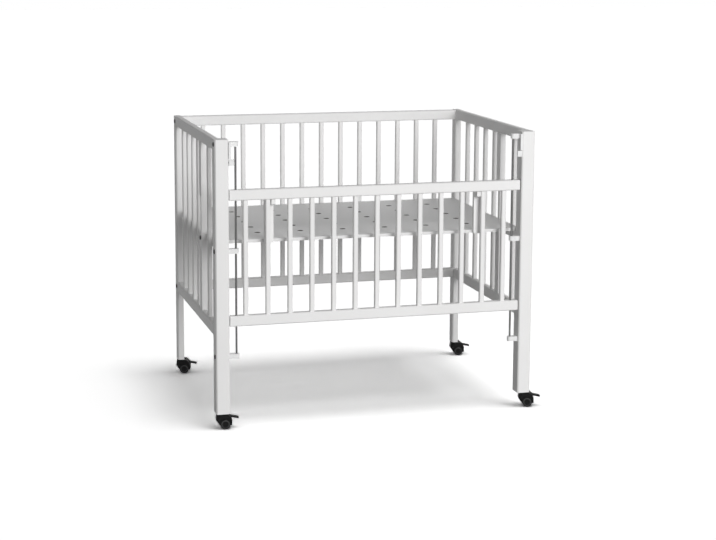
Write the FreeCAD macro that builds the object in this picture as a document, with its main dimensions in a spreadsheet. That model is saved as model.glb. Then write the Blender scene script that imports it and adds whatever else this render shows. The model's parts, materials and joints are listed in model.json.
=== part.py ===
import FreeCAD, Part
import math
import os
import re
import Sketcher

# Bedside sleeper crib: four legs on casters, slatted ends and back, a mattress board
# and a slatted front gate that slides up and down on two steel rods.
# X runs along the crib, Y from the gate (front) to the back, Z up from the floor.

doc = FreeCAD.newDocument("BedsideCrib")
sheet = doc.addObject("Spreadsheet::Sheet", "Sizes")

# Every driving size in millimetres (angles in degrees), with what it measures.
sizes = [
    ("overall_length", 950, "outer face to outer face of the legs"),
    ("overall_depth", 684, "front face of the front legs to back face of the back legs"),
    ("overall_height", 830, "floor to the top of the legs and rails"),
    ("middle_x", -18.7, "middle of the legs from the origin, because the casters trail to the right"),
    ("middle_y", 1.77, "middle of the legs from the origin, front to back"),
    ("leg_foot_height", 45, "floor to the underside of the legs"),
    ("front_leg_width", 39, "front leg along X"),
    ("front_leg_depth", 44, "front leg along Y"),
    ("back_leg_width", 20, "back leg along X"),
    ("back_leg_depth", 36, "back leg along Y"),
    ("leg_chamfer", 3, "chamfer of the upright leg edges"),
    ("rail_chamfer", 2.5, "chamfer of the long edges of rails and cleats"),
    ("slat_chamfer", 2, "chamfer of the slat edges"),
    ("end_rail_thickness", 20, "end rails along X"),
    ("top_rail_height", 31, "top rails of the ends and the back"),
    ("end_bottom_rail_height", 33, "bottom rails of the ends"),
    ("back_bottom_rail_height", 30, "bottom rail of the back"),
    ("bottom_rail_top", 300, "floor to the top of the bottom rails"),
    ("rail_tenon_length", 5, "rail tenons in the legs"),
    ("rail_tenon_thickness", 8, "rail tenons across the rail"),
    ("rail_tenon_inset", 7, "rail tenons from the top and bottom of the rail"),
    ("end_slat_thickness", 13, "end slats along X"),
    ("end_slat_width", 14, "end slats along Y"),
    ("end_slat_setback", 94.5, "outermost end slats, centre from the leg"),
    ("end_slat_run_front", 260.5, "front leg to the centre of the first slat behind the bolt post"),
    ("end_slat_run", 4, "evenly spaced slats behind the bolt post"),
    ("post_width", 31, "bolt post along Y"),
    ("post_neck_width", 14, "bolt post along Y beside the mattress"),
    ("post_thickness", 17, "bolt post along X"),
    ("post_front", 185, "front leg to the front edge of the bolt post"),
    ("neck_bottom", 524, "floor to the lower end of the neck"),
    ("neck_top", 638, "floor to the upper end of the neck"),
    ("neck_round", 6, "rounding of the neck's inner corners"),
    ("slat_tenon_length", 10, "slat tenons in the rails"),
    ("slat_tenon_inset", 3, "slat tenons from the faces of the slat"),
    ("joint_clearance", 0.1, "glued tenon to its mortise, each side"),
    ("back_panel_thickness", 20, "back rails along Y"),
    ("back_slat_width", 13.5, "back slats along X"),
    ("back_slat_thickness", 13, "back slats along Y"),
    ("panel_slat_margin", 88.9, "outermost back and gate slats, centre from the outer face of the crib"),
    ("panel_slat_count", 13, "slats in the back and in the gate"),
    ("gate_end_gap", 3, "gate to the front leg at each end"),
    ("gate_setback", 5, "front face of the gate from the front of the legs"),
    ("gate_thickness", 22, "gate rails along Y"),
    ("gate_rail_height", 30, "gate rails along Z"),
    ("gate_top", 687, "floor to the top of the lowered gate"),
    ("gate_height", 390, "bottom to top of the gate"),
    ("gate_slat_width", 13.5, "gate slats along X"),
    ("gate_slat_thickness", 13, "gate slats along Y"),
    ("rod_diameter", 6, "steel guide rods"),
    ("rod_offset", 22.5, "rod axis from the inner face of the front leg"),
    ("rod_setback", 16, "rod axis from the front of the legs"),
    ("rod_running_gap", 0.4, "rod to the holes in the gate rails, each side"),
    ("rod_seat_depth", 10, "rod in the top and bottom brackets"),
    ("bracket_width", 16, "rod brackets along Y"),
    ("bracket_height", 14, "rod brackets along Z"),
    ("bracket_spacing", 303, "rod brackets, centre to centre"),
    ("bracket_middle", 513, "floor to the middle of the middle bracket"),
    ("bracket_count", 3, "brackets on each rod"),
    ("fit_clearance", 0.05, "rods in their brackets, each side"),
    ("latch_width", 15, "latch button along X"),
    ("latch_button_height", 17, "latch button along Z"),
    ("latch_thickness", 7, "latch along Y"),
    ("latch_arm_width", 6, "latch arm along X"),
    ("latch_gap", 0.5, "latch to the gate and to the leg"),
    ("latch_clearance", 2, "latch button to the foot of the arm above it"),
    ("latch_button_drop", 35, "underside of the top bracket to the top of the latch button"),
    ("latch_travel", 8.5, "how far the latch button slides in"),
    ("latch_rib_height", 6, "rib that guides the latch button in the leg"),
    ("latch_rib_depth", 2.2, "how far the rib reaches into the leg"),
    ("latch_rib_length", 7, "rib along Y"),
    ("latch_rib_back", 1.5, "front end of the rib ahead of the button's back face"),
    ("latch_foot_drop", 3, "slope of the latch arm below its bracket"),
    ("latch_chamfer", 1, "chamfer of the latch button"),
    ("running_gap", 0.3, "sliding pieces, each side"),
    ("board_end_gap", 25, "outer face of the crib to the end of the mattress board"),
    ("board_thickness", 9, "mattress board along Z"),
    ("board_top", 538, "floor to the top of the mattress board"),
    ("board_front_gap", 2, "back face of the front legs to the board"),
    ("board_back_gap", 2, "board to the back panel"),
    ("board_corner", 8, "rounding of the board's corners"),
    ("vent_diameter", 17, "vent holes in the board"),
    ("vent_sides", 12, "flats around each vent hole"),
    ("vent_pitch_x", 128.5, "vent holes along X"),
    ("vent_pitch_y", 95.3, "vent holes along Y"),
    ("vent_columns", 6, "vent holes along X, count"),
    ("vent_rows", 5, "vent holes along Y, count"),
    ("cleat_height", 24, "board cleats along Z"),
    ("cleat_reach", 38, "outer face of the crib to the inner face of the cleats"),
    ("cleat_tenon_inset", 5, "cleat tenon from the faces of the cleat"),
    ("cleat_end_gap", 2, "cleat to the back panel"),
    ("rest_width", 26, "gate rests along X"),
    ("rest_thickness", 12.5, "gate rests along Y"),
    ("rest_centre", 314, "gate rests from the middle of the crib"),
    ("rest_lip_width", 11.5, "lip under the gate's top rail, along X"),
    ("rest_lip_height", 14, "lip under the gate's top rail, along Z"),
    ("rest_gap", 0.5, "lip to the underside of the lowered gate's top rail"),
    ("rest_round", 4, "rounding of the rest's outline"),
    ("rest_lip_slope", 6, "height of the slope under the lip"),
    ("rest_lip_gap", 2, "lip to the front face of the gate"),
    ("wheel_radius", 15, "caster wheels"),
    ("wheel_width", 12.5, "caster wheels along the axle"),
    ("wheel_inner", 7.5, "middle of the caster to the inner face of a wheel"),
    ("wheel_gap", 1.5, "wheel to the inside of the hood"),
    ("caster_trail", 13, "axle behind the stem"),
    ("hood_width", 40, "caster hood along the axle"),
    ("hood_wall", 3, "hood around the wheels"),
    ("hood_web", 13, "middle web of the hood between the wheels"),
    ("hood_nose", 13.5, "nose of the hood ahead of the stem"),
    ("nose_chamfer", 8, "cut corners of the nose, seen from above"),
    ("hood_chamfer", 2.5, "chamfer of the hood's top edges"),
    ("hood_gap", 0.5, "hood to the underside of the leg"),
    ("axle_diameter", 5, "axles of the twin wheels"),
    ("shaft_gap", 0.1, "axle in the hood and stem in the leg, each side"),
    ("stem_diameter", 8, "caster stems"),
    ("stem_in_leg", 30, "caster stem in the leg"),
    ("front_stem_inset", 14.5, "stem from the outer face of the front leg"),
    ("lever_width", 14, "brake lever along its pivot"),
    ("knuckle_radius", 3.5, "round back end of the brake lever, about its pivot"),
    ("lever_side_gap", 0.4, "brake lever to the sides of its slot"),
    ("pivot_behind", 19, "lever pivot behind the stem"),
    ("pivot_drop", 6.5, "lever pivot below the top of the hood"),
    ("lever_reach", 53, "tip of the brake lever behind the stem"),
    ("turn_front_left", -6, "how far each caster is turned, seen from above"),
    ("turn_front_right", -16, "caster angle"),
    ("turn_back_left", -14, "caster angle"),
    ("turn_back_right", -10, "caster angle"),
]
aliases = set()
for row, (alias, value, meaning) in enumerate(sizes, 1):
    sheet.set("A%d" % row, meaning)
    sheet.set("B%d" % row, str(value))
    sheet.setAlias("B%d" % row, alias)
    aliases.add(alias)
doc.recompute()

sub_parts = []


def formula(text):
    """A size formula as the spreadsheet's expression."""
    def named(word):
        return "Sizes." + word.group() if word.group() in aliases else word.group()
    return re.sub(r"[a-z_]+", named, str(text))


def bind(target, path, text):
    target.setExpression(path, formula(text))


def new_piece(name, x, y, z, turn=None, several=False):
    """An empty body whose own corner or centre is at x, y from the crib's middle and z above the floor."""
    body = doc.addObject("PartDesign::Body", name)
    body.Label = name
    body.AllowCompound = several
    bind(body, "Placement.Base.x", "middle_x + (%s)" % x)
    bind(body, "Placement.Base.y", "middle_y + (%s)" % y)
    bind(body, "Placement.Base.z", z)
    if turn:
        bind(body, "Placement.Rotation.Angle", turn)
    sub_parts.append(body)
    return body


def finish_piece(body, tip):
    body.Tip = tip
    doc.recompute()


def origin_part(body, role):
    return [item for item in body.Origin.OriginFeatures if item.Role == role][0]


def block(body, name, size, corner=("0", "0", "0"), cut=False):
    """A box of material, or a box-shaped pocket, in the body's own frame."""
    box = body.newObject("PartDesign::SubtractiveBox" if cut else "PartDesign::AdditiveBox", name)
    for side, text in zip(("Length", "Width", "Height"), size):
        bind(box, side, text)
    for axis, text in zip("xyz", corner):
        bind(box, "Placement.Base." + axis, text)
    doc.recompute()
    return box


def bore(body, name, diameter, depth, start, along):
    """A round hole from start along an axis: X, Y or Z, or its opposite with a minus sign."""
    turns = {"Z": (0, 0, 1, 0), "-Z": (1, 0, 0, 180), "X": (0, 1, 0, 90), "-X": (0, 1, 0, -90),
             "Y": (1, 0, 0, -90), "-Y": (1, 0, 0, 90)}
    a, b, c, degrees = turns[along]
    hole = body.newObject("PartDesign::SubtractiveCylinder", name)
    hole.Placement = FreeCAD.Placement(FreeCAD.Vector(), FreeCAD.Rotation(FreeCAD.Vector(a, b, c), degrees))
    bind(hole, "Radius", "(%s) / 2" % diameter)
    bind(hole, "Height", depth)
    for axis, text in zip("xyz", start):
        bind(hole, "Placement.Base." + axis, text)
    doc.recompute()
    return hole


def edges_along(feature, direction, where=None):
    """Names of the straight edges that run along a direction."""
    names = []
    for number, edge in enumerate(feature.Shape.Edges, 1):
        straight = edge.Curve.TypeId == "Part::GeomLine"
        if straight and abs(edge.tangentAt(edge.FirstParameter).dot(direction)) > 0.999:
            if where is None or where(edge.CenterOfMass):
                names.append("Edge%d" % number)
    return names


def ease_edges(body, name, feature, size, direction, where=None, kind="Chamfer"):
    """A chamfer, or a fillet, on the straight edges along a direction."""
    ease = body.newObject("PartDesign::" + kind, name)
    ease.Base = (feature, edges_along(feature, direction, where))
    bind(ease, "Size" if kind == "Chamfer" else "Radius", size)
    doc.recompute()
    return ease


def row_of(body, name, features, axis, spacing, count):
    """Copies of features, or of the whole body so far, in a row."""
    pattern = body.newObject("PartDesign::LinearPattern", name)
    pattern.Direction = (origin_part(body, axis), [""])
    if features:
        pattern.Originals = features
    else:
        pattern.TransformMode = "Whole shape"
    pattern.Mode = "Spacing"
    bind(pattern, "Offset", spacing)
    bind(pattern, "Occurrences", count)
    finish_piece(body, pattern)
    return pattern


start_ring = 50        # mm, radius on which a sketch's corners stand until their bindings move them


def outline(body, name, plane, corners, offset=("0", "0", "0")):
    """A closed sketch whose corners are bound to size formulas."""
    sketch = body.newObject("Sketcher::SketchObject", name)
    sketch.AttachmentSupport = [(origin_part(body, plane), "")]
    sketch.MapMode = "FlatFace"
    for axis, text in zip("xyz", offset):
        bind(sketch, "AttachmentOffset.Base." + axis, text)
    count = len(corners)
    ring = []
    for number in range(count):
        angle = -2 * math.pi * number / count
        ring.append(FreeCAD.Vector(start_ring * math.cos(angle), start_ring * math.sin(angle), 0))
    for number in range(count):
        sketch.addGeometry(Part.LineSegment(ring[number], ring[(number + 1) % count]), False)
    for number in range(count):
        sketch.addConstraint(Sketcher.Constraint("Coincident", number, 2, (number + 1) % count, 1))
    for number, (across, up) in enumerate(corners):
        for kind, text, value in (("DistanceX", across, ring[number].x), ("DistanceY", up, ring[number].y)):
            index = sketch.addConstraint(Sketcher.Constraint(kind, -1, 1, number, 1, value))
            bind(sketch, "Constraints[%d]" % index, text)
    doc.recompute()
    return sketch


def extrude(body, name, sketch, length, both_ways=False, reverse=False):
    pad = body.newObject("PartDesign::Pad", name)
    pad.Profile = sketch
    bind(pad, "Length", length)
    pad.Midplane = both_ways
    pad.Reversed = reverse
    doc.recompute()
    return pad


along_x = FreeCAD.Vector(1, 0, 0)
along_y = FreeCAD.Vector(0, 1, 0)
along_z = FreeCAD.Vector(0, 0, 1)
sides = (("left", -1), ("right", 1))


def from_end(side, inset, width):
    """X of the low corner of something set in from an outer face."""
    if side < 0:
        return "-overall_length / 2 + (%s)" % inset
    return "overall_length / 2 - (%s) - (%s)" % (inset, width)


def across_end(side, inset, width, piece_width):
    """The same inside a piece that starts at the outer face and is piece_width wide."""
    if side < 0:
        return inset
    return "(%s) - (%s) - (%s)" % (piece_width, inset, width)


front = "-overall_depth / 2"
leg_height = "overall_height - leg_foot_height"
front_leg_back = "-overall_depth / 2 + front_leg_depth"
panel_front = "overall_depth / 2 - back_leg_depth"
end_span = "overall_depth - front_leg_depth - back_leg_depth"
panel_span = "overall_length - 2 * back_leg_width"
top_rail_z = "overall_height - top_rail_height"
slat_height = "overall_height - top_rail_height - bottom_rail_top"
end_slat_pitch = "((%s) - end_slat_run_front - end_slat_setback) / (end_slat_run - 1)" % end_span
panel_slat_pitch = "(overall_length - 2 * panel_slat_margin) / (panel_slat_count - 1)"
board_length = "(overall_length - 2 * board_end_gap)"
board_width = "(%s - board_front_gap - board_back_gap)" % end_span
board_z = "board_top - board_thickness"
gate_length = "overall_length - 2 * front_leg_width - 2 * gate_end_gap"
gate_bottom_z = "gate_top - gate_height"
gate_slat_height = "gate_height - 2 * gate_rail_height"
low_bracket_z = "bracket_middle - bracket_spacing"
top_bracket_under = "bracket_middle + bracket_spacing - bracket_height / 2"
latch_top = "(%s) - latch_button_drop" % top_bracket_under
slat_inset = "(end_rail_thickness - end_slat_thickness) / 2"
tenon = "end_slat_thickness - 2 * slat_tenon_inset"
hood_top = "leg_foot_height - hood_gap"
stem_hole = "stem_diameter + 2 * shaft_gap"
back_bottom_z = "bottom_rail_top - back_bottom_rail_height"
back_tenon_y = "(back_panel_thickness - rail_tenon_thickness) / 2"


def mortise(body, name, size, corner):
    """A pocket for a tenon of the given size and corner, larger by the joint clearance."""
    grown = ["(%s) + 2 * joint_clearance" % text for text in size]
    shifted = ["(%s) - joint_clearance" % text for text in corner]
    return block(body, name, grown, shifted, cut=True)


def rail_tenon(height, foot):
    """Height and low edge of a rail's tenon."""
    return "(%s) - 2 * rail_tenon_inset" % height, "(%s) + rail_tenon_inset" % foot


rails = (("top", "top_rail_height", top_rail_z),
         ("bottom", "end_bottom_rail_height", "bottom_rail_top - end_bottom_rail_height"))
cleat_tenon = ("cleat_reach - end_rail_thickness - 2 * cleat_tenon_inset", "rail_tenon_length",
               "cleat_height - 2 * cleat_tenon_inset")
rail_tenon_x = "(end_rail_thickness - rail_tenon_thickness) / 2"

for label, side in sides:
    leg = new_piece("front_leg_" + label, from_end(side, "0", "front_leg_width"), front, "leg_foot_height")
    stock = block(leg, "Stock", ("front_leg_width", "front_leg_depth", leg_height))
    ease_edges(leg, "Edges", stock, "leg_chamfer", along_z)
    for which, height, foot in rails:
        tenon_height, tenon_foot = rail_tenon(height, foot)
        mortise(leg, which + "_mortise",
                ("rail_tenon_thickness", "rail_tenon_length", tenon_height),
                (across_end(side, rail_tenon_x, "rail_tenon_thickness", "front_leg_width"),
                 "front_leg_depth - rail_tenon_length", "(%s) - leg_foot_height" % tenon_foot))
    mortise(leg, "cleat_mortise", cleat_tenon,
            (across_end(side, "end_rail_thickness + cleat_tenon_inset", cleat_tenon[0], "front_leg_width"),
             "front_leg_depth - rail_tenon_length",
             "(%s) - cleat_height + cleat_tenon_inset - leg_foot_height" % board_z))
    bore(leg, "Stem_hole", stem_hole, "stem_in_leg + hood_gap",
         (across_end(side, "front_stem_inset", "0", "front_leg_width"), "front_leg_depth / 2", "0"), "Z")
    groove_depth = "latch_rib_depth + running_gap"
    tip = block(leg, "Latch_groove",
                (groove_depth, "latch_rib_length + latch_travel + 2 * running_gap",
                 "latch_rib_height + 2 * running_gap"),
                ("front_leg_width - (%s)" % groove_depth if side < 0 else "0",
                 "gate_setback - latch_gap - latch_rib_back - running_gap",
                 "%s - latch_button_height / 2 - latch_rib_height / 2 - running_gap"
                 " - leg_foot_height" % latch_top),
                cut=True)
    finish_piece(leg, tip)

    leg = new_piece("back_leg_" + label, from_end(side, "0", "back_leg_width"), panel_front,
                    "leg_foot_height")
    stock = block(leg, "Stock", ("back_leg_width", "back_leg_depth", leg_height))
    ease_edges(leg, "Edges", stock, "leg_chamfer", along_z)
    for which, height, foot in rails:
        tenon_height, tenon_foot = rail_tenon(height, foot)
        mortise(leg, which + "_mortise",
                ("rail_tenon_thickness", "rail_tenon_length", tenon_height),
                (across_end(side, rail_tenon_x, "rail_tenon_thickness", "back_leg_width"),
                 "0", "(%s) - leg_foot_height" % tenon_foot))
    for which, foot, height in (("Top", top_rail_z, "top_rail_height"),
                                ("Bottom", back_bottom_z, "back_bottom_rail_height")):
        tenon_height, tenon_foot = rail_tenon(height, foot)
        mortise(leg, which + "_back_mortise",
                ("rail_tenon_length", "rail_tenon_thickness", tenon_height),
                (across_end(side, "back_leg_width - rail_tenon_length", "rail_tenon_length",
                            "back_leg_width"),
                 back_tenon_y, "(%s) - leg_foot_height" % tenon_foot))
    finish_piece(leg, bore(leg, "Stem_hole", stem_hole, "stem_in_leg + hood_gap",
                           ("back_leg_width / 2", "back_leg_depth / 2", "0"), "Z"))

# The ends: rails, slats, bolt posts and board cleats.
slat_tenon_wide = "end_slat_width - 2 * slat_tenon_inset"
first_slat = "end_slat_setback - end_slat_width / 2"
run_start = "end_slat_run_front - end_slat_width / 2"


def end_mortises(body, side, z):
    """Pockets for the slats and the bolt post in an end rail."""
    x = across_end(side, "%s + slat_tenon_inset" % slat_inset, tenon, "end_rail_thickness")
    size = (tenon, slat_tenon_wide, "slat_tenon_length")
    mortise(body, "First_mortise", size, (x, "%s + slat_tenon_inset" % first_slat, z))
    mortise(body, "Post_mortise", size, (x, "post_front + slat_tenon_inset", z))
    pocket = mortise(body, "Run_mortise", size, (x, "%s + slat_tenon_inset" % run_start, z))
    return row_of(body, "Run_mortises", [pocket], "Y_Axis", end_slat_pitch, "end_slat_run")


for label, side in sides:
    for which, height, foot in rails:
        rail = new_piece("end_%s_rail_%s" % (which, label), from_end(side, "0", "end_rail_thickness"),
                         front_leg_back, foot)
        stock = block(rail, "Stock", ("end_rail_thickness", end_span, height))
        ease_edges(rail, "Edges", stock, "rail_chamfer", along_y)
        for end, y in (("Front", "-rail_tenon_length"), ("Back", end_span)):
            block(rail, end + "_tenon",
                  ("rail_tenon_thickness", "rail_tenon_length", "%s - 2 * rail_tenon_inset" % height),
                  (rail_tenon_x, y, "rail_tenon_inset"))
        pocket_z = "0" if which == "top" else "%s - slat_tenon_length" % height
        finish_piece(rail, end_mortises(rail, side, pocket_z))

    slats = new_piece("end_slats_" + label, from_end(side, slat_inset, "end_slat_thickness"), front_leg_back,
                      "bottom_rail_top", several=True)
    tenon_size = (tenon, slat_tenon_wide, "(%s) + 2 * slat_tenon_length" % slat_height)
    stock = block(slats, "Run_stock", ("end_slat_thickness", "end_slat_width", slat_height), ("0",
                                                                                              run_start, "0"))
    ease_edges(slats, "Run_edges", stock, "slat_chamfer", along_z)
    block(slats, "Run_tenons", tenon_size,
          ("slat_tenon_inset", "%s + slat_tenon_inset" % run_start, "-slat_tenon_length"))
    row_of(slats, "Run", None, "Y_Axis", end_slat_pitch, "end_slat_run")
    stock = block(slats, "First_stock", ("end_slat_thickness", "end_slat_width", slat_height),
                  ("0", first_slat, "0"))
    lowest = min(vertex.Point.y for vertex in stock.Shape.Vertexes)
    ease_edges(slats, "First_edges", stock, "slat_chamfer", along_z,
               lambda point: point.y < lowest + 1.5 * sheet.end_slat_width)
    finish_piece(slats, block(slats, "First_tenons", tenon_size,
                              ("slat_tenon_inset", "%s + slat_tenon_inset" % first_slat,
                               "-slat_tenon_length")))

    post = new_piece("bolt_post_" + label, from_end(side, "end_rail_thickness - post_thickness",
                                                    "post_thickness"),
                     "%s + post_front" % front_leg_back, "bottom_rail_top")
    neck_low = "neck_bottom - bottom_rail_top"
    neck_high = "neck_top - bottom_rail_top"
    shape = outline(post, "Outline", "YZ_Plane", [
        ("0", "0"), ("0", slat_height), ("post_width", slat_height), ("post_width", neck_high),
        ("post_neck_width", neck_high), ("post_neck_width", neck_low), ("post_width", neck_low),
        ("post_width", "0")])
    stock = extrude(post, "Stock", shape, "post_thickness")
    ease_edges(post, "Neck_rounding", stock, "neck_round", along_x,
               lambda point: 1 < point.z < post.Shape.BoundBox.ZLength - 1, kind="Fillet")
    post_tenon_x = across_end(side,
                              "%s + slat_tenon_inset - end_rail_thickness + post_thickness" % slat_inset,
                              tenon, "post_thickness")
    finish_piece(post, block(post, "Tenons", (tenon, slat_tenon_wide,
                                              "(%s) + 2 * slat_tenon_length" % slat_height),
                             (post_tenon_x, "slat_tenon_inset", "-slat_tenon_length")))

    cleat_inset = "%s + end_slat_thickness" % slat_inset
    cleat_width = "cleat_reach - (%s)" % cleat_inset
    cleat_length = "(%s) - cleat_end_gap" % end_span
    cleat = new_piece("board_cleat_" + label, from_end(side, cleat_inset, cleat_width), front_leg_back,
                      "%s - cleat_height" % board_z)
    stock = block(cleat, "Stock", (cleat_width, cleat_length, "cleat_height"))
    ease_edges(cleat, "Edges", stock, "rail_chamfer", along_y)
    block(cleat, "Tenon", cleat_tenon,
          (across_end(side, "end_rail_thickness - (%s) + cleat_tenon_inset" % cleat_inset, cleat_tenon[0],
                      cleat_width),
           "-rail_tenon_length", "cleat_tenon_inset"))
    housing = "end_rail_thickness - (%s)" % cleat_inset
    finish_piece(cleat, mortise(
        cleat, "Post_housing", (housing, "post_width", "cleat_height"),
        ("-joint_clearance" if side < 0 else "%s - (%s) + joint_clearance" % (cleat_width, housing),
         "post_front", "0")))

# The back panel and the rows of slats that it shares with the gate.
back_slat_y = "(back_panel_thickness - back_slat_thickness) / 2"
first_panel_slat = "panel_slat_margin - overall_length / 2"


def panel_mortises(body, slat_width, slat_depth, y, middle, z):
    """Pockets for a row of slats in a back or gate rail."""
    size = ("%s - 2 * slat_tenon_inset" % slat_width, "%s - 2 * slat_tenon_inset" % slat_depth,
            "slat_tenon_length")
    corner = ("%s + (%s) - %s / 2 + slat_tenon_inset" % (middle, first_panel_slat, slat_width),
              "%s + slat_tenon_inset" % y, z)
    pocket = mortise(body, "Slat_mortise", size, corner)
    return row_of(body, "Slat_mortises", [pocket], "X_Axis", panel_slat_pitch, "panel_slat_count")


def slat_row(name, slat_width, slat_depth, y, foot, height):
    """A row of rounded slats with a tenon at each end."""
    slats = new_piece(name, "(%s) - %s / 2" % (first_panel_slat, slat_width), y, foot, several=True)
    stock = block(slats, "Stock", (slat_width, slat_depth, height))
    ease_edges(slats, "Edges", stock, "slat_chamfer", along_z)
    block(slats, "Tenons",
          ("%s - 2 * slat_tenon_inset" % slat_width, "%s - 2 * slat_tenon_inset" % slat_depth,
           "(%s) + 2 * slat_tenon_length" % height),
          ("slat_tenon_inset", "slat_tenon_inset", "-slat_tenon_length"))
    row_of(slats, "Row", None, "X_Axis", panel_slat_pitch, "panel_slat_count")


for which, height, foot in (("top", "top_rail_height", top_rail_z),
                            ("bottom", "back_bottom_rail_height", back_bottom_z)):
    rail = new_piece("back_%s_rail" % which, "-(%s) / 2" % panel_span, panel_front, foot)
    stock = block(rail, "Stock", (panel_span, "back_panel_thickness", height))
    ease_edges(rail, "Edges", stock, "rail_chamfer", along_x)
    block(rail, "Tenons",
          ("(%s) + 2 * rail_tenon_length" % panel_span, "rail_tenon_thickness",
           "%s - 2 * rail_tenon_inset" % height),
          ("-rail_tenon_length", back_tenon_y, "rail_tenon_inset"))
    pocket_z = "0" if which == "top" else "%s - slat_tenon_length" % height
    panel_mortises(rail, "back_slat_width", "back_slat_thickness", back_slat_y, "(%s) / 2" % panel_span,
                   pocket_z)

slat_row("back_slats", "back_slat_width", "back_slat_thickness", "%s + %s" % (panel_front, back_slat_y),
         "bottom_rail_top", slat_height)

# The sliding gate.
gate_slat_y = "(gate_thickness - gate_slat_thickness) / 2"
rod_in_gate = "rod_offset - gate_end_gap"
for which, foot in (("top", "gate_top - gate_rail_height"), ("bottom", gate_bottom_z)):
    rail = new_piece("gate_%s_rail" % which, "-(%s) / 2" % gate_length, "%s + gate_setback" % front, foot)
    stock = block(rail, "Stock", (gate_length, "gate_thickness", "gate_rail_height"))
    ease_edges(rail, "Edges", stock, "rail_chamfer", along_x)
    for end, x in (("Left", rod_in_gate), ("Right", "%s - (%s)" % (gate_length, rod_in_gate))):
        bore(rail, end + "_rod_hole", "rod_diameter + 2 * rod_running_gap", "gate_rail_height",
             (x, "rod_setback - gate_setback", "0"), "Z")
    pocket_z = "0" if which == "top" else "gate_rail_height - slat_tenon_length"
    panel_mortises(rail, "gate_slat_width", "gate_slat_thickness", gate_slat_y, "(%s) / 2" % gate_length,
                   pocket_z)

slat_row("gate_slats", "gate_slat_width", "gate_slat_thickness", "%s + gate_setback + %s" % (front,
                                                                                             gate_slat_y),
         "%s + gate_rail_height" % gate_bottom_z, gate_slat_height)

# Guide rods, brackets and latches.
rod_x = "overall_length / 2 - front_leg_width - rod_offset"
for label, side in sides:
    sign = "-" if side < 0 else ""
    rod = new_piece("guide_rod_" + label, "%s(%s)" % (sign, rod_x), "%s + rod_setback" % front,
                    "%s + bracket_height / 2 - rod_seat_depth" % low_bracket_z)
    rod_length = "(bracket_count - 1) * bracket_spacing - bracket_height + 2 * rod_seat_depth"
    shaft = rod.newObject("PartDesign::AdditiveCylinder", "Rod")
    bind(shaft, "Radius", "rod_diameter / 2")
    bind(shaft, "Height", rod_length)
    finish_piece(rod, shaft)

    # Each bracket is a tab with a round nose about the rod, fixed to the inner face of the leg.
    inward = 1 if side < 0 else -1
    brackets = new_piece("rod_brackets_" + label, "%s(overall_length / 2 - front_leg_width)" % sign,
                         "%s + rod_setback" % front, "%s - bracket_height / 2" % low_bracket_z, several=True)
    block(brackets, "Tab", ("rod_offset", "bracket_width", "bracket_height"),
          ("0" if side < 0 else "-rod_offset", "-bracket_width / 2", "0"))
    nose = brackets.newObject("PartDesign::AdditiveCylinder", "Nose")
    bind(nose, "Radius", "bracket_width / 2")
    bind(nose, "Height", "bracket_height")
    bind(nose, "Placement.Base.x", "%d * rod_offset" % inward)
    doc.recompute()
    row_of(brackets, "Brackets", None, "Z_Axis", "bracket_spacing", "bracket_count")
    rod_seat = "rod_seat_depth + running_gap"
    finish_piece(brackets, bore(
        brackets, "Rod_seat", "rod_diameter + 2 * fit_clearance",
        "(bracket_count - 1) * bracket_spacing - bracket_height + 2 * (%s)" % rod_seat,
        ("%d * rod_offset" % inward, "0", "bracket_height - (%s)" % rod_seat), "Z"))

    # The latch arm hangs in front of the gate's path, beside the leg.
    arm = new_piece("latch_arm_" + label, from_end(side, "front_leg_width", "latch_arm_width"),
                    "%s + gate_setback - latch_gap" % front, "%s + latch_clearance" % latch_top)
    arm_height = "latch_button_drop + bracket_height - latch_clearance"
    foot_reach = "rod_setback - bracket_width / 2 - gate_setback + latch_gap"
    shape = outline(arm, "Outline", "YZ_Plane", [
        ("-latch_thickness", "0"), ("-latch_thickness", arm_height), (foot_reach, arm_height),
        (foot_reach, "%s - bracket_height" % arm_height),
        ("0", "%s - bracket_height - latch_foot_drop" % arm_height), ("0", "0")])
    finish_piece(arm, extrude(arm, "Arm", shape, "latch_arm_width"))

    # The latch button slides in under the raised gate, guided by a rib in the leg's groove.
    button = new_piece("latch_button_" + label,
                       "%s(overall_length / 2 - front_leg_width - latch_gap)" % sign,
                       "%s + gate_setback - latch_gap" % front, "%s - latch_button_height" % latch_top)
    stock = block(button, "Stock", ("latch_width", "latch_thickness", "latch_button_height"),
                  ("0" if side < 0 else "-latch_width", "-latch_thickness", "0"))
    ease_edges(button, "Upright_edges", stock, "latch_chamfer", along_z)
    rib_z = "(latch_button_height - latch_rib_height) / 2"
    block(button, "Rib", ("latch_rib_depth + latch_gap + latch_chamfer", "latch_rib_length",
                          "latch_rib_height"),
          ("-latch_rib_depth - latch_gap" if side < 0 else "-latch_chamfer", "-latch_rib_back", rib_z))
    finish_piece(button, block(
        button, "Rib_relief", ("latch_chamfer + latch_gap", "latch_rib_length", "latch_rib_height"),
        ("-latch_gap" if side < 0 else "-latch_chamfer", "0", rib_z), cut=True))

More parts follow.
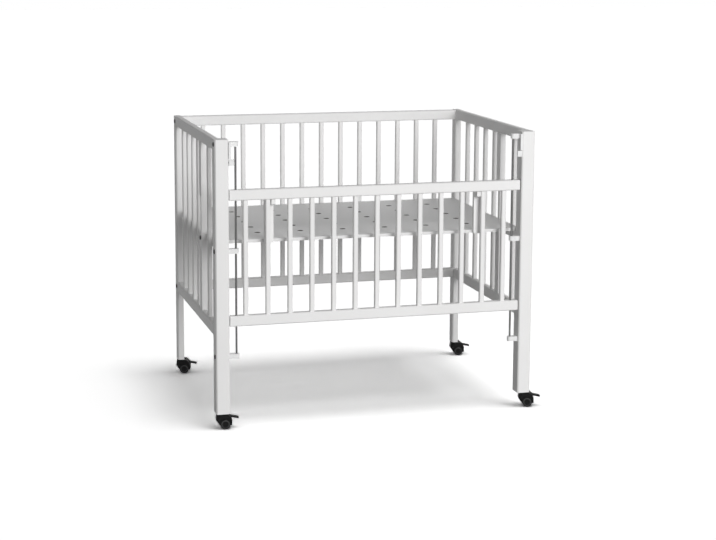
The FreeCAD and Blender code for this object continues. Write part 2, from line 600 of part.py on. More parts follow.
# The mattress board and the rests that stop the gate.
board = new_piece("mattress_board", "-%s / 2" % board_length, "%s + board_front_gap" % front_leg_back,
                  board_z)
stock = block(board, "Sheet", (board_length, board_width, "board_thickness"))
ease_edges(board, "Corners", stock, "board_corner", along_z, kind="Fillet")
vent = board.newObject("PartDesign::SubtractivePrism", "Vent")
bind(vent, "Polygon", "vent_sides")
bind(vent, "Circumradius", "vent_diameter / 2")
bind(vent, "Height", "board_thickness")
bind(vent, "Placement.Base.x", "%s / 2 - (vent_columns - 1) / 2 * vent_pitch_x" % board_length)
bind(vent, "Placement.Base.y", "%s / 2 - (vent_rows - 1) / 2 * vent_pitch_y" % board_width)
doc.recompute()
steps = []
for name, axis, spacing, count in (("Vent_columns", "X_Axis", "vent_pitch_x", "vent_columns"),
                                   ("Vent_rows", "Y_Axis", "vent_pitch_y", "vent_rows")):
    step = board.newObject("PartDesign::LinearPattern", name)
    step.Direction = (origin_part(board, axis), [""])
    step.Mode = "Spacing"
    bind(step, "Offset", spacing)
    bind(step, "Occurrences", count)
    steps.append(step)
pattern = board.newObject("PartDesign::MultiTransform", "Vents")
pattern.Originals = [vent]
pattern.Transformations = steps
finish_piece(board, pattern)

rest_back = "%s + board_front_gap" % front_leg_back
rest_top = "gate_top - gate_rail_height - rest_gap"
lip_reach = "front_leg_depth + board_front_gap - rest_thickness - gate_setback - rest_lip_gap"
for label, side in sides:
    rest = new_piece("gate_rest_" + label, "%srest_centre - rest_width / 2" % ("-" if side < 0 else ""),
                     rest_back, board_z)
    rest_height = "(%s) - (%s)" % (rest_top, board_z)
    shape = outline(rest, "Bar_outline", "XZ_Plane", [
        ("0", "0"), ("0", rest_height), ("rest_width", rest_height), ("rest_width", "0")])
    bar = extrude(rest, "Bar", shape, "rest_thickness")
    ease_edges(rest, "Bar_rounding", bar, "rest_round", along_y,
               lambda point: point.x < 1 or point.z < 1, kind="Fillet")
    shape = outline(rest, "Lip_outline", "YZ_Plane", [
        ("-rest_thickness + 1", "%s - rest_lip_height - rest_lip_slope" % rest_height),
        ("-rest_thickness + 1", rest_height),
        ("-rest_thickness - (%s)" % lip_reach, rest_height),
        ("-rest_thickness - (%s)" % lip_reach, "%s - rest_lip_height" % rest_height),
        ("-rest_thickness", "%s - rest_lip_height - rest_lip_slope" % rest_height)],
        ("0", "0", "rest_width - rest_lip_width" if side < 0 else "0"))
    finish_piece(rest, extrude(rest, "Lip", shape, "rest_lip_width"))

# Casters: a hood that turns on its stem, twin wheels on an axle through the hood, and a brake lever.
places = (
    ("front_left", "-overall_length / 2 + front_stem_inset", "%s + front_leg_depth / 2" % front),
    ("front_right", "overall_length / 2 - front_stem_inset", "%s + front_leg_depth / 2" % front),
    ("back_left", "-overall_length / 2 + back_leg_width / 2", "overall_depth / 2 - back_leg_depth / 2"),
    ("back_right", "overall_length / 2 - back_leg_width / 2", "overall_depth / 2 - back_leg_depth / 2"),
)
hood_back = "caster_trail + wheel_radius + wheel_gap + hood_wall"
pivot_z = "%s - pivot_drop" % hood_top

for label, x, y in places:
    turn = "turn_" + label

    # Moulded hood: a nosed cover with a pocket for each wheel and a slot for the lever.
    hood = new_piece("caster_hood_" + label, x, y, "0", turn)
    shape = outline(hood, "Side_outline", "XZ_Plane", [
        ("caster_trail - 2 / 3 * wheel_radius", "2"), ("-hood_nose", "wheel_radius * 1.75"),
        ("-hood_nose + 2.5", hood_top), ("pivot_behind + 2", hood_top),
        (hood_back, "2 * wheel_radius + 1"), (hood_back, "wheel_radius - 3")])
    stock = extrude(hood, "Stock", shape, "hood_width", both_ways=True)
    eased = ease_edges(hood, "Top_edges", stock, "hood_chamfer", along_y,
                       lambda point: point.z > 1.9 * sheet.wheel_radius)
    nose_sides = ["Edge%d" % number for number, edge in enumerate(eased.Shape.Edges, 1)
                  if edge.CenterOfMass.x < -sheet.hood_nose / 4 and abs(edge.CenterOfMass.y) > 1]
    nose = hood.newObject("PartDesign::Chamfer", "Nose_corners")
    nose.Base = (eased, nose_sides)
    bind(nose, "Size", "nose_chamfer")
    doc.recompute()
    pocket_depth = "(hood_width - hood_web) / 2 + 1"
    for which, start, way in (("Near", "-hood_width / 2 - 1", "Y"), ("Far", "hood_width / 2 + 1", "-Y")):
        bore(hood, which + "_wheel_pocket", "2 * (wheel_radius + wheel_gap)", pocket_depth,
             ("caster_trail", start, "wheel_radius"), way)
    block(hood, "Lever_slot", ("lever_reach", "lever_width + 2 * lever_side_gap", "pivot_drop + 13"),
          ("pivot_behind - 6", "-lever_width / 2 - lever_side_gap", "%s - pivot_drop - 12" % hood_top),
          cut=True)
    bore(hood, "Axle_hole", "axle_diameter + 2 * shaft_gap", "hood_width",
         ("caster_trail", "-hood_width / 2", "wheel_radius"), "Y")
    stem = hood.newObject("PartDesign::AdditiveCylinder", "Stem")
    bind(stem, "Radius", "stem_diameter / 2")
    bind(stem, "Height", "stem_in_leg + hood_gap + hood_wall")
    bind(stem, "Placement.Base.z", "%s - hood_wall" % hood_top)
    finish_piece(hood, stem)

    # The twin wheels and their axle, which turn as one.
    wheels = new_piece("caster_wheels_" + label, x, y, "0", turn)
    inner = "wheel_inner"
    outer = "wheel_inner + wheel_width"
    axle = "axle_diameter / 2"
    shape = outline(wheels, "Half_section", "YZ_Plane", [
        ("-(%s)" % outer, "0"), ("-(%s)" % outer, "wheel_radius"), ("-" + inner, "wheel_radius"),
        ("-" + inner, axle),
        (inner, axle), (inner, "wheel_radius"), (outer, "wheel_radius"), (outer, "0")],
        ("0", "wheel_radius", "caster_trail"))
    twin = wheels.newObject("PartDesign::Revolution", "Twin_wheels")
    twin.Profile = shape
    twin.ReferenceAxis = (shape, ["H_Axis"])
    twin.Angle = 360
    finish_piece(wheels, twin)

    # The brake lever rocks on its knuckle in the slot of the hood.
    lever = new_piece("brake_lever_" + label, x, y, "0", turn)
    pivot = "pivot_behind"
    shape = outline(lever, "Side_outline", "XZ_Plane", [
        (pivot, "%s - 3" % pivot_z), ("%s - 2.5" % pivot, "%s + 1.5" % pivot_z),
        ("%s - 0.5" % pivot, "%s - running_gap" % hood_top), ("%s + 3" % pivot,
                                                              "%s - running_gap" % hood_top),
        ("%s + 12" % pivot, "%s - 1.2" % pivot_z), ("lever_reach - 4", "%s - 4.5" % pivot_z),
        ("lever_reach", "%s - 6.5" % pivot_z), ("lever_reach - 2", "%s - 10" % pivot_z),
        ("%s + 12" % pivot, "%s - 6.2" % pivot_z), ("%s + 5" % pivot, "%s - 3" % pivot_z)])
    extrude(lever, "Arm", shape, "lever_width", both_ways=True)
    knuckle = lever.newObject("PartDesign::AdditiveCylinder", "Knuckle")
    knuckle.Placement = FreeCAD.Placement(FreeCAD.Vector(), FreeCAD.Rotation(along_x, -90))
    bind(knuckle, "Radius", "knuckle_radius")
    bind(knuckle, "Height", "lever_width")
    bind(knuckle, "Placement.Base.x", pivot)
    bind(knuckle, "Placement.Base.y", "-lever_width / 2")
    bind(knuckle, "Placement.Base.z", pivot_z)
    doc.recompute()
    finish_piece(lever, knuckle)

# Check every feature and shape, then write one STEP file for each sub-part.
doc.recompute()
faults = []
for item in doc.Objects:
    if "Invalid" in item.State or "Error" in item.State:
        faults.append("%s (%s): %s" % (item.Name, item.Label, item.State))
for body in sub_parts:
    if body.Shape.isNull() or not body.Shape.isValid():
        faults.append("%s has no valid shape" % body.Label)
if faults:
    raise RuntimeError("\n".join(faults))

os.makedirs("parts", exist_ok=True)
whole = FreeCAD.BoundBox()
for body in sub_parts:
    whole.add(body.Shape.BoundBox)
    body.Shape.exportStep("parts/%s.step" % body.Label)
print("sub-parts: %d, box X %.1f to %.1f, Y %.1f to %.1f, Z %.1f to %.1f" % (
    len(sub_parts), whole.XMin, whole.XMax, whole.YMin, whole.YMax, whole.ZMin, whole.ZMax))
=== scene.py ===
import json
import math

import bmesh
import bpy
from mathutils import Matrix, Vector


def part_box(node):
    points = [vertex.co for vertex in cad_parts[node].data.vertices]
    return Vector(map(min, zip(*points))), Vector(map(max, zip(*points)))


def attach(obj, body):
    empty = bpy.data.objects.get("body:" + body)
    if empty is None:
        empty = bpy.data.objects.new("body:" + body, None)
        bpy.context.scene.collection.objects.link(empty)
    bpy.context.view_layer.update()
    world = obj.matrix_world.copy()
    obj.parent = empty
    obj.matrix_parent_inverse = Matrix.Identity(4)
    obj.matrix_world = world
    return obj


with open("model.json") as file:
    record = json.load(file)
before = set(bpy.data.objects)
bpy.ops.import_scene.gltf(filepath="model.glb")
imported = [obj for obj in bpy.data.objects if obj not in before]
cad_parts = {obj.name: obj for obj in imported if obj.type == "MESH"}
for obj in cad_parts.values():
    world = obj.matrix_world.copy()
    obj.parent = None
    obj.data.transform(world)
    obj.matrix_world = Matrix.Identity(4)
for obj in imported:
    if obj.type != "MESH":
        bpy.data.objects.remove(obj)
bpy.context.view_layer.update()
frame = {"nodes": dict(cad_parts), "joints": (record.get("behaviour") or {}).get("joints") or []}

nodes = frame["nodes"]
scene = bpy.context.scene
scene.view_settings.view_transform = "Standard"
print("frame loaded:", len(nodes), "nodes")


class Shader:        # keeps the node trees of the materials and the world short to write
    def __init__(self, holder, outputKind="OutputMaterial"):
        self.holder = holder
        holder.use_nodes = True
        self.tree = holder.node_tree
        self.tree.nodes.clear()
        self.output = self.add(outputKind)

    def add(self, kind, **settings):
        node = self.tree.nodes.new("ShaderNode" + kind)
        for key, value in settings.items():
            setattr(node, key, value)
        return node

    def link(self, source, target):
        self.tree.links.new(source, target)

    def work(self, kind, operation, terms):        # a maths node, whose terms are sockets or plain values
        node = self.add(kind, operation=operation)
        for term, socket in zip(terms, node.inputs):
            if isinstance(term, bpy.types.NodeSocket):
                self.link(term, socket)
            else:
                socket.default_value = term
        return node

    def number(self, operation, *terms):
        return self.work("Math", operation, terms).outputs["Value"]

    def vector(self, operation, *terms):
        return self.work("VectorMath", operation, terms).outputs["Vector"]

    def principled(self, **values):
        surface = self.add("BsdfPrincipled")
        for key, value in values.items():
            surface.inputs[key.replace("_", " ")].default_value = value
        self.link(surface.outputs["BSDF"], self.output.inputs["Surface"])
        return surface

    def noise(self, scale, stretch=(1, 1, 1), detail=4.0, rough=0.55):
        where = self.add("TexCoord")
        spread = self.add("Mapping")
        spread.inputs["Scale"].default_value = stretch
        grain = self.add("TexNoise")
        grain.inputs["Scale"].default_value = scale
        grain.inputs["Detail"].default_value = detail
        grain.inputs["Roughness"].default_value = rough
        self.link(where.outputs["Object"], spread.inputs["Vector"])
        self.link(spread.outputs["Vector"], grain.inputs["Vector"])
        return grain.outputs["Fac"]

    def ramp(self, source, reach, dark, light):        # reach: where the ramp starts and where it ends
        ramp = self.add("ValToRGB")
        ramp.color_ramp.elements[0].position = reach[0]
        ramp.color_ramp.elements[0].color = dark
        ramp.color_ramp.elements[1].position = reach[1]
        ramp.color_ramp.elements[1].color = light
        self.link(source, ramp.inputs["Fac"])
        return ramp.outputs["Color"]

    def bump(self, heights, surface):        # heights: (socket, strength, distance)
        normal = None
        for source, strength, distance in heights:
            bump = self.add("Bump")
            bump.inputs["Strength"].default_value = strength
            bump.inputs["Distance"].default_value = distance
            self.link(source, bump.inputs["Height"])
            if normal:
                self.link(normal, bump.inputs["Normal"])
            normal = bump.outputs["Normal"]
        self.link(normal, surface.inputs["Normal"])

    def shownTo(self, rays, shown, plain):        # these rays see the first shader, all others the second
        path = self.add("LightPath")
        seen = path.outputs[rays[0]]
        for ray in rays[1:]:
            seen = self.number("MAXIMUM", seen, path.outputs[ray])
        mix = self.add("MixShader")
        self.link(seen, mix.inputs[0])
        self.link(plain.outputs[0], mix.inputs[1])
        self.link(shown.outputs[0], mix.inputs[2])
        self.link(mix.outputs[0], self.output.inputs["Surface"])


def newMaterial(name):
    return Shader(bpy.data.materials.new(name))


def grey(value, warm=0.0):
    return (value * (1 + warm), value, value * (1 - warm), 1.0)


paint = {
    "shade": 0.80,        # satin white, not pure
    "mottle": 0.015,        # how much the coat's tone wanders
    "mottleSize": 5.0,
    "mottleRamp": (0.3, 0.7),
    "warm": (0.006, 0.003),        # of the darker and the lighter tone
    "shine": 0.12,
    "rough": (0.50, 0.62),        # roughness range of the sprayed lacquer
    "grainSize": 26.0,
    "grainRamp": (0.35, 0.7),
    "grainStrength": 0.16,
    "grainDepth": 0.0006,
    "alongGrain": 1.2,        # scale of the grain's pattern along the piece, and across it
    "acrossGrain": 14,
    "peelSize": 900.0,        # the fine ripple that spraying leaves
    "peelStrength": 0.05,
    "peelDepth": 0.0003,
}


def paintedWood(name, stretch):
    shader = newMaterial(name)
    surface = shader.principled(Specular_IOR_Level=paint["shine"])
    mottle = shader.noise(paint["mottleSize"], detail=3.0)
    darkWarm, lightWarm = paint["warm"]
    dark = grey(paint["shade"] - paint["mottle"], darkWarm)
    light = grey(paint["shade"] + paint["mottle"], lightWarm)
    shader.link(shader.ramp(mottle, paint["mottleRamp"], dark, light), surface.inputs["Base Color"])
    grain = shader.noise(paint["grainSize"], stretch, detail=8.0, rough=0.62)
    low, high = paint["rough"]
    shader.link(shader.ramp(grain, paint["grainRamp"], grey(low), grey(high)), surface.inputs["Roughness"])
    peel = shader.noise(paint["peelSize"], detail=2.0)
    shader.bump([(grain, paint["grainStrength"], paint["grainDepth"]),
                 (peel, paint["peelStrength"], paint["peelDepth"])], surface)
    return shader.holder


along, across = paint["alongGrain"], paint["acrossGrain"]
grainAlong = {
    "x": paintedWood("paintedWoodAlongX", (along, across, across)),
    "y": paintedWood("paintedWoodAlongY", (across, along, across)),
    "z": paintedWood("paintedWoodAlongZ", (across, across, along)),
}

board = {
    "vents": (6, 5),        # columns and rows
    "pitch": (0.1285, 0.0953),
    "ventReach": 0.0089,        # a little over a vent's radius
    "tone": (0.70, 0.73),
    "toneWarm": (0.004, 0.002),
    "toneSize": 3.0,
    "toneRamp": (0.3, 0.7),
    "shine": 0.25,
    "rough": (0.42, 0.58),
    "roughRamp": (0.3, 0.8),
    "fibreSize": 420.0,
    "fibreStrength": 0.12,
    "fibreDepth": 0.0002,
    "ventShadeTone": 0.10,        # the vent walls, painted dark as the shade inside the holes, with sawn fibreboard's brown cast
    "ventShadeWarm": 0.08,
}


def ventShadeMask(shader):
    # 1 on the walls of the vents, which take a painted shade, 0 on the rest of the board
    low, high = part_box("mattress_board")
    pitchX, pitchY = board["pitch"]
    phase = [0.0 if count % 2 else 0.5 for count in board["vents"]]        # even rows have none in the middle
    where = shader.add("TexCoord").outputs["Object"]
    centred = shader.vector("SUBTRACT", where, (low + high) / 2)
    counted = shader.vector("DIVIDE", centred, (pitchX, pitchY, 1.0))
    shifted = shader.vector("ADD", counted, (*phase, 0.0))
    nearest = shader.vector("FLOOR", shader.vector("ADD", shifted, (0.5, 0.5, 0.0)))
    offset = shader.vector("SUBTRACT", shifted, nearest)
    flat = shader.vector("MULTIPLY", offset, (pitchX, pitchY, 0.0))
    far = shader.work("VectorMath", "LENGTH", [flat]).outputs["Value"]
    mask = shader.number("LESS_THAN", far, board["ventReach"])
    split = shader.add("SeparateXYZ")
    shader.link(shader.vector("ABSOLUTE", centred), split.inputs[0])
    for axis, count, pitch in zip("XY", board["vents"], board["pitch"]):
        within = shader.number("LESS_THAN", split.outputs[axis], count * pitch / 2)
        mask = shader.number("MULTIPLY", mask, within)
    return mask


def boardLaminate():
    shader = newMaterial("boardLaminate")
    surface = shader.principled(Specular_IOR_Level=board["shine"])
    cloud = shader.noise(board["toneSize"], detail=3.0)
    dark, light = [grey(tone, warm) for tone, warm in zip(board["tone"], board["toneWarm"])]
    mix = shader.add("Mix", data_type="RGBA")
    # the vent walls get painted shade instead of the board's tone
    mix.inputs["B"].default_value = grey(board["ventShadeTone"], board["ventShadeWarm"])
    shader.link(ventShadeMask(shader), mix.inputs["Factor"])
    shader.link(shader.ramp(cloud, board["toneRamp"], dark, light), mix.inputs["A"])
    shader.link(mix.outputs["Result"], surface.inputs["Base Color"])
    fibre = shader.noise(board["fibreSize"], detail=4.0)
    low, high = board["rough"]
    shader.link(shader.ramp(fibre, board["roughRamp"], grey(low), grey(high)), surface.inputs["Roughness"])
    shader.bump([(fibre, board["fibreStrength"], board["fibreDepth"])], surface)
    return shader.holder


plastics = {
    "whitePlastic": {"shade": 0.78, "rough": 0.42, "grainSize": 1400.0, "strength": 0.10, "shine": 0.3},
    "hoodPlastic": {"shade": 0.006, "rough": 0.42, "grainSize": 1800.0, "strength": 0.14, "shine": 0.1},
    "wheelPlastic": {"shade": 0.005, "rough": 0.5, "grainSize": 1200.0, "strength": 0.10, "shine": 0.1},
    "leverPlastic": {"shade": 0.006, "rough": 0.40, "grainSize": 1800.0, "strength": 0.12, "shine": 0.1},
    # the wheel caps' rim, lighter than the black wheels as a painted highlight
    "rimHighlightPlastic": {"shade": 0.035, "rough": 0.42, "grainSize": 1800.0, "strength": 0.10, "shine": 0.2},
}
moulding = {        # what all the moulded plastics share
    "toneSize": 40.0,
    "toneRange": (0.94, 1.04),        # of the shade
    "toneRamp": (0.3, 0.7),
    "roughRange": (0.85, 1.15),        # of the roughness
    "roughRamp": (0.35, 0.7),
    "grainDepth": 0.0002,
}


def mouldedPlastic(name, shade, rough, grainSize, strength, shine):
    shader = newMaterial(name)
    surface = shader.principled(Specular_IOR_Level=shine)
    tone = shader.noise(moulding["toneSize"], detail=2.0)
    dark, light = [grey(shade * share) for share in moulding["toneRange"]]
    shader.link(shader.ramp(tone, moulding["toneRamp"], dark, light), surface.inputs["Base Color"])
    grain = shader.noise(grainSize, detail=3.0)
    low, high = [grey(rough * share) for share in moulding["roughRange"]]
    shader.link(shader.ramp(grain, moulding["roughRamp"], low, high), surface.inputs["Roughness"])
    shader.bump([(grain, strength, moulding["grainDepth"])], surface)
    return shader.holder


steels = {
    "rodSteel": {"shade": 0.15, "rough": 0.32, "stretch": (1, 1, 0.02)},        # streaks along the rod
    "boltSteel": {"shade": 0.05, "rough": 0.42, "stretch": (1, 1, 1)},
}
drawing = {        # what both steels share
    "streakSize": 160.0,
    "streakRamp": (0.3, 0.75),
    "toneRange": (0.8, 1.15),        # of the shade
    "roughRange": (0.8, 1.3),        # of the roughness
    "strength": 0.08,
    "depth": 0.0001,
}


def steel(name, shade, rough, stretch):
    shader = newMaterial(name)
    surface = shader.principled(Metallic=1.0)
    streaks = shader.noise(drawing["streakSize"], stretch, detail=5.0)
    for value, spread, target in ((shade, "toneRange", "Base Color"), (rough, "roughRange", "Roughness")):
        low, high = [grey(value * share) for share in drawing[spread]]
        shader.link(shader.ramp(streaks, drawing["streakRamp"], low, high), surface.inputs[target])
    shader.bump([(streaks, drawing["strength"], drawing["depth"])], surface)
    return shader.holder


moulded = {name: mouldedPlastic(name, **values) for name, values in plastics.items()}
metal = {name: steel(name, **values) for name, values in steels.items()}

finishOf = {        # by the start of a node's name
    "front_leg": grainAlong["z"],
    "back_leg": grainAlong["z"],
    "bolt_post": grainAlong["z"],
    "end_slats": grainAlong["z"],
    "back_slats": grainAlong["z"],
    "gate_slats": grainAlong["z"],
    "gate_rest": grainAlong["z"],
    "end_top_rail": grainAlong["y"],
    "end_bottom_rail": grainAlong["y"],
    "board_cleat": grainAlong["y"],
    "back_top_rail": grainAlong["x"],
    "back_bottom_rail": grainAlong["x"],
    "gate_top_rail": grainAlong["x"],
    "gate_bottom_rail": grainAlong["x"],
    "mattress_board": boardLaminate(),
    "rod_brackets": moulded["whitePlastic"],
    "latch_arm": moulded["whitePlastic"],
    "latch_button": moulded["whitePlastic"],
    "guide_rod": metal["rodSteel"],
    "caster_hood": moulded["hoodPlastic"],
    "caster_wheels": moulded["wheelPlastic"],
    "brake_lever": moulded["leverPlastic"],
}
for name, piece in nodes.items():
    kind = max((key for key in finishOf if name.startswith(key)), key=len)
    piece.data.materials.clear()
    piece.data.materials.append(finishOf[kind])
print("finishes set")


def ringsToMesh(name, rings):        # each ring is a list of points, all of one length; both ends are closed
    built = bmesh.new()
    rows = [[built.verts.new(point) for point in ring] for ring in rings]
    steps = len(rows[0])
    for lower, upper in zip(rows, rows[1:]):
        for i in range(steps):
            built.faces.new((lower[i], lower[(i + 1) % steps], upper[(i + 1) % steps], upper[i]))
    built.faces.new(list(reversed(rows[0])))
    built.faces.new(rows[-1])
    bmesh.ops.recalc_face_normals(built, faces=built.faces)
    mesh = bpy.data.meshes.new(name)
    built.to_mesh(mesh)
    built.free()
    return mesh


def circlePoints(radius, height, steps):
    return [(radius * math.cos(math.tau * i / steps), radius * math.sin(math.tau * i / steps), height)
            for i in range(steps)]


def hexPoints(acrossFlats, height, steps):        # a hexagon with as many points as the ring round it
    points = []
    for i in range(steps):
        angle = math.tau * i / steps
        fromFlat = (angle % (math.tau / 6)) - math.tau / 12
        reach = acrossFlats / 2 / math.cos(fromFlat)
        points.append((reach * math.cos(angle), reach * math.sin(angle), height))
    return points


def placePiece(name, mesh, place, outward, body):        # outward is where the mesh's Z points
    piece = bpy.data.objects.new(name, mesh)
    scene.collection.objects.link(piece)
    turn = Vector(outward).to_track_quat("Z", "Y").to_matrix().to_4x4()
    piece.matrix_world = Matrix.Translation(place) @ turn
    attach(piece, body)


bolt = {
    "headRadius": 0.006,
    "headHeight": 0.003,
    "edge": 0.0006,        # chamfer round the head
    "socketFlats": 0.005,
    "socketDepth": 0.0018,
    "socketTaper": 0.96,        # the socket's floor, as a share of its mouth
    "steps": 36,
    "sunk": 0.0002,        # how far the head's underside sits in the paint
    "frontLegInset": 0.016,        # from the leg's front face
    "frontLegHeights": (0.816, 0.513, 0.210),        # from the floor, as are the other heights
    "backLegInset": 0.024,        # from the leg's back face
    "backLegHeights": (0.8145, 0.285),
    "postHeight": 0.514,
}


def boltHeadMesh():
    top, steps = bolt["headHeight"], bolt["steps"]
    radius, edge = bolt["headRadius"], bolt["edge"]
    mouth = bolt["socketFlats"]
    rings = [
        circlePoints(radius, -bolt["sunk"], steps),
        circlePoints(radius, top - edge, steps),
        circlePoints(radius - edge, top, steps),
        hexPoints(mouth, top, steps),
        hexPoints(mouth * bolt["socketTaper"], top - bolt["socketDepth"], steps),
    ]
    mesh = ringsToMesh("boltHead", rings)
    mesh.materials.append(metal["boltSteel"])
    return mesh


def boltSpots(side):        # kind of bolt, the node that it holds, its place along Y and its height
    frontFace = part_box("front_leg_" + side)[0].y
    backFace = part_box("back_leg_" + side)[1].y
    postLow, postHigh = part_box("bolt_post_" + side)
    frontRow, backRow = frontFace + bolt["frontLegInset"], backFace - bolt["backLegInset"]
    spots = [("front_leg_bolt", "front_leg_", frontRow, height) for height in bolt["frontLegHeights"]]
    spots += [("back_leg_bolt", "back_leg_", backRow, height) for height in bolt["backLegHeights"]]
    spots.append(("post_bolt", "bolt_post_", (postLow.y + postHigh.y) / 2, bolt["postHeight"]))
    return spots


def addBolts():
    for side, end, outward in (("left", 0, (-1, 0, 0)), ("right", 1, (1, 0, 0))):
        for count, (kind, holder, row, height) in enumerate(boltSpots(side), 1):
            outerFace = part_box(holder + side)[end].x
            placePiece(f"{kind}_{side}_{count}", boltHeadMesh(), (outerFace, row, height), outward,
                       "crib_frame")


caster = {
    "halfWidth": 0.020,        # from the caster's middle to a wheel's outer face
    "capRadius": 0.0125,        # cap on that face: a black dish inside a rim painted grey as a highlight
    "capSunk": 0.0003,        # how far inside the wheel the cap starts
    "capRise": 0.0006,
    "capShoulder": 0.4,        # share of the rise at which the cap's edge starts to slope
    "capEdge": 0.0012,        # how far that slope goes inwards
    "dishRadius": 0.0092,
    "dishDepth": 0.0005,
    "dishSlope": 0.0006,        # how far the dish narrows on its way down
    "hubRadius": (0.0022, 0.0016),        # foot and top of the hub in the dish
    "highlightRimRows": 3,        # rings of faces, counted from the outside, that are the rim with its painted highlight
    "steps": 40,
}


def wheelCapMesh():
    rise, steps = caster["capRise"], caster["steps"]
    radius, dish = caster["capRadius"], caster["dishRadius"]
    hubFoot, hubTop = caster["hubRadius"]
    dishFloor = rise - caster["dishDepth"]
    rings = [
        circlePoints(radius, -caster["capSunk"], steps),
        circlePoints(radius, rise * caster["capShoulder"], steps),
        circlePoints(radius - caster["capEdge"], rise, steps),
        circlePoints(dish, rise, steps),
        circlePoints(dish - caster["dishSlope"], dishFloor, steps),
        circlePoints(hubFoot, dishFloor, steps),
        circlePoints(hubTop, rise, steps),
    ]
    mesh = ringsToMesh("wheelCap", rings)
    mesh.materials.append(moulded["rimHighlightPlastic"])
    mesh.materials.append(moulded["wheelPlastic"])
    for face in mesh.polygons[caster["highlightRimRows"] * steps:]:
        face.material_index = 1
    return mesh


def addWheelCaps():
    joints = {joint["name"]: joint for joint in frame["joints"]}
    for corner in ("front_left", "front_right", "back_left", "back_right"):
        roll = joints["roll_" + corner]
        axis, middle = Vector(roll["axis"]), Vector(roll["pos_m"])
        for which, outward in (("inner", -axis), ("outer", axis)):
            placePiece(f"wheel_cap_{corner}_{which}", wheelCapMesh(), middle + outward * caster["halfWidth"],
                       outward, "wheels_" + corner)


addBolts()
addWheelCaps()
print("bolt heads and wheel caps made")

stageLook = {
    "floorSize": 60.0,
    "floorDrop": 0.0003,        # under the wheels
    "floorLift": 2.78,        # how bright the floor looks to the camera for the light that it gets
    "floorShade": 0.6,        # how much of its light the floor throws back at the crib
    "skyAtHorizon": 0.36,
    "skyOverhead": 0.09,
    "lampAim": (0, 0, 0.45),        # of the key and the back lamp, which light the crib alone
    "keyPower": 236.0,        # large soft lamp in front, higher than the crib and to the right
    "keyPlace": (1.2, -5.1, 2.1),
    "keySize": 3.0,
    "backPower": 235.0,        # soft lamp behind, so that the back isn't left grey
    "backPlace": (2.6, 4.4, 0.8),
    "backSize": 3.0,
    "topStrength": 0.62,        # soft light from above, for the floor alone and the crib's shadow on it
    "topFrom": (0.22, -0.2, 1.0),
    "topSpread": 0.45,        # radians
}


def paleFloor():
    # White to the camera and to glossy rays, with the crib's shadow; it lights the crib as a pale floor.
    shader = newMaterial("paleFloor")
    plain, bright = shader.add("BsdfDiffuse"), shader.add("BsdfDiffuse")
    plain.inputs["Color"].default_value = grey(stageLook["floorShade"])
    bright.inputs["Color"].default_value = grey(stageLook["floorLift"])
    shader.shownTo(("Is Camera Ray", "Is Glossy Ray"), bright, plain)
    return shader.holder


def addFloor():
    bpy.ops.mesh.primitive_plane_add(size=stageLook["floorSize"], location=(0, 0, -stageLook["floorDrop"]))
    floor = bpy.context.object
    floor.name = "floor"
    floor.data.materials.append(paleFloor())
    return floor


def areaLamp(name, size, power):
    lamp = bpy.data.lights.new(name, "AREA")
    lamp.shape = "DISK"
    lamp.size = size
    lamp.energy = power
    return lamp


def addLamp(lamp, place, aim, receivers):        # the lamp lights the receivers and nothing else
    holder = bpy.data.objects.new(lamp.name, lamp)
    scene.collection.objects.link(holder)
    holder.location = place
    holder.rotation_euler = (Vector(aim) - Vector(place)).to_track_quat("-Z", "Y").to_euler()
    holder.visible_camera = False
    lit = bpy.data.collections.new(lamp.name + "Receivers")
    for piece in receivers:
        lit.objects.link(piece)
    holder.light_linking.receiver_collection = lit
    return holder


def addLights(floor):
    crib = [piece for piece in scene.objects if piece.type == "MESH" and piece != floor]
    key = areaLamp("keyLamp", stageLook["keySize"], stageLook["keyPower"])
    addLamp(key, stageLook["keyPlace"], stageLook["lampAim"], crib)
    back = areaLamp("backLamp", stageLook["backSize"], stageLook["backPower"])
    holder = addLamp(back, stageLook["backPlace"], stageLook["lampAim"], crib)
    holder.visible_glossy = False
    top = bpy.data.lights.new("topLamp", "SUN")
    top.energy = stageLook["topStrength"]
    top.angle = stageLook["topSpread"]
    addLamp(top, stageLook["topFrom"], (0, 0, 0), [floor])


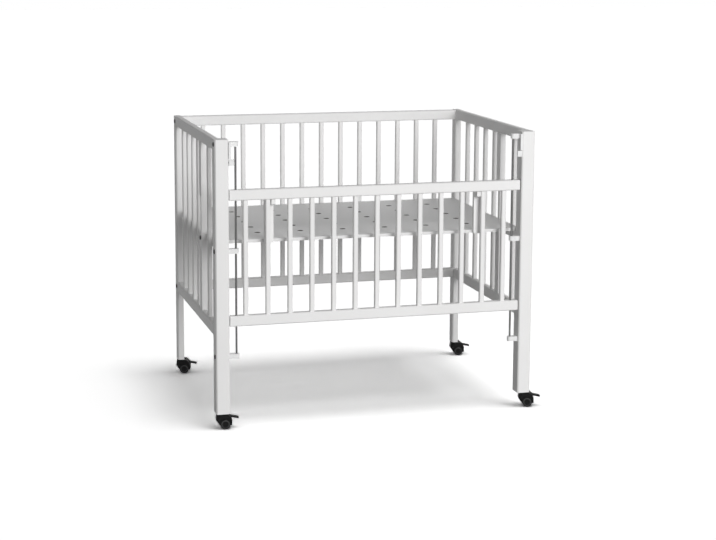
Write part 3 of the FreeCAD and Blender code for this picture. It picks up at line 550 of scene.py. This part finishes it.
def addWorld():
    # A sky that darkens upwards lights the crib; the camera and reflections see plain white.
    scene.world = bpy.data.worlds.new("studio")
    sky = Shader(scene.world, "OutputWorld")
    split = sky.add("SeparateXYZ")
    sky.link(sky.add("TexCoord").outputs["Generated"], split.inputs[0])
    fade = sky.add("MapRange")
    fade.inputs["To Min"].default_value = stageLook["skyAtHorizon"]
    fade.inputs["To Max"].default_value = stageLook["skyOverhead"]
    sky.link(split.outputs["Z"], fade.inputs["Value"])
    soft, white = sky.add("Background"), sky.add("Background")
    for background in (soft, white):
        background.inputs["Color"].default_value = grey(1.0)
    sky.link(fade.outputs["Result"], soft.inputs["Strength"])
    sky.shownTo(("Is Camera Ray", "Is Glossy Ray", "Is Transmission Ray"), white, soft)


view = {
    "place": (-1.34345, -4.79621, 1.36644),        # where the photograph was taken from, metres
    "yaw": -0.27616,        # radians, turned to the right of +Y
    "pitch": 0.15106,        # radians, looking down
    "roll": 0.00517,
    "focal": 1644.76,        # pixels of a picture that is "width" pixels wide
    "shiftDown": 75.0,        # pixels
    "width": 716.0,
    "filmWidth": 36.0,        # millimetres
    "farthest": 100.0,        # metres
}


def addCamera():
    lens = bpy.data.cameras.new("photographView")
    lens.sensor_width = view["filmWidth"]
    lens.lens = view["focal"] / view["width"] * view["filmWidth"]
    lens.shift_y = -view["shiftDown"] / view["width"]
    lens.clip_end = view["farthest"]
    camera = bpy.data.objects.new("photographView", lens)
    scene.collection.objects.link(camera)
    yaw, pitch, roll = view["yaw"], view["pitch"], view["roll"]
    ahead = Vector((-math.sin(yaw), math.cos(yaw), 0))
    forward = ahead * math.cos(pitch) - Vector((0, 0, math.sin(pitch)))
    right = Vector((math.cos(yaw), math.sin(yaw), 0))
    up = right.cross(forward)
    sideways = right * math.cos(roll) + up * math.sin(roll)
    upward = up * math.cos(roll) - right * math.sin(roll)
    turn = Matrix((sideways, upward, -forward)).transposed().to_4x4()
    camera.matrix_world = Matrix.Translation(view["place"]) @ turn
    scene.camera = camera


addLights(addFloor())
addWorld()
addCamera()
print("floor, light and camera set")
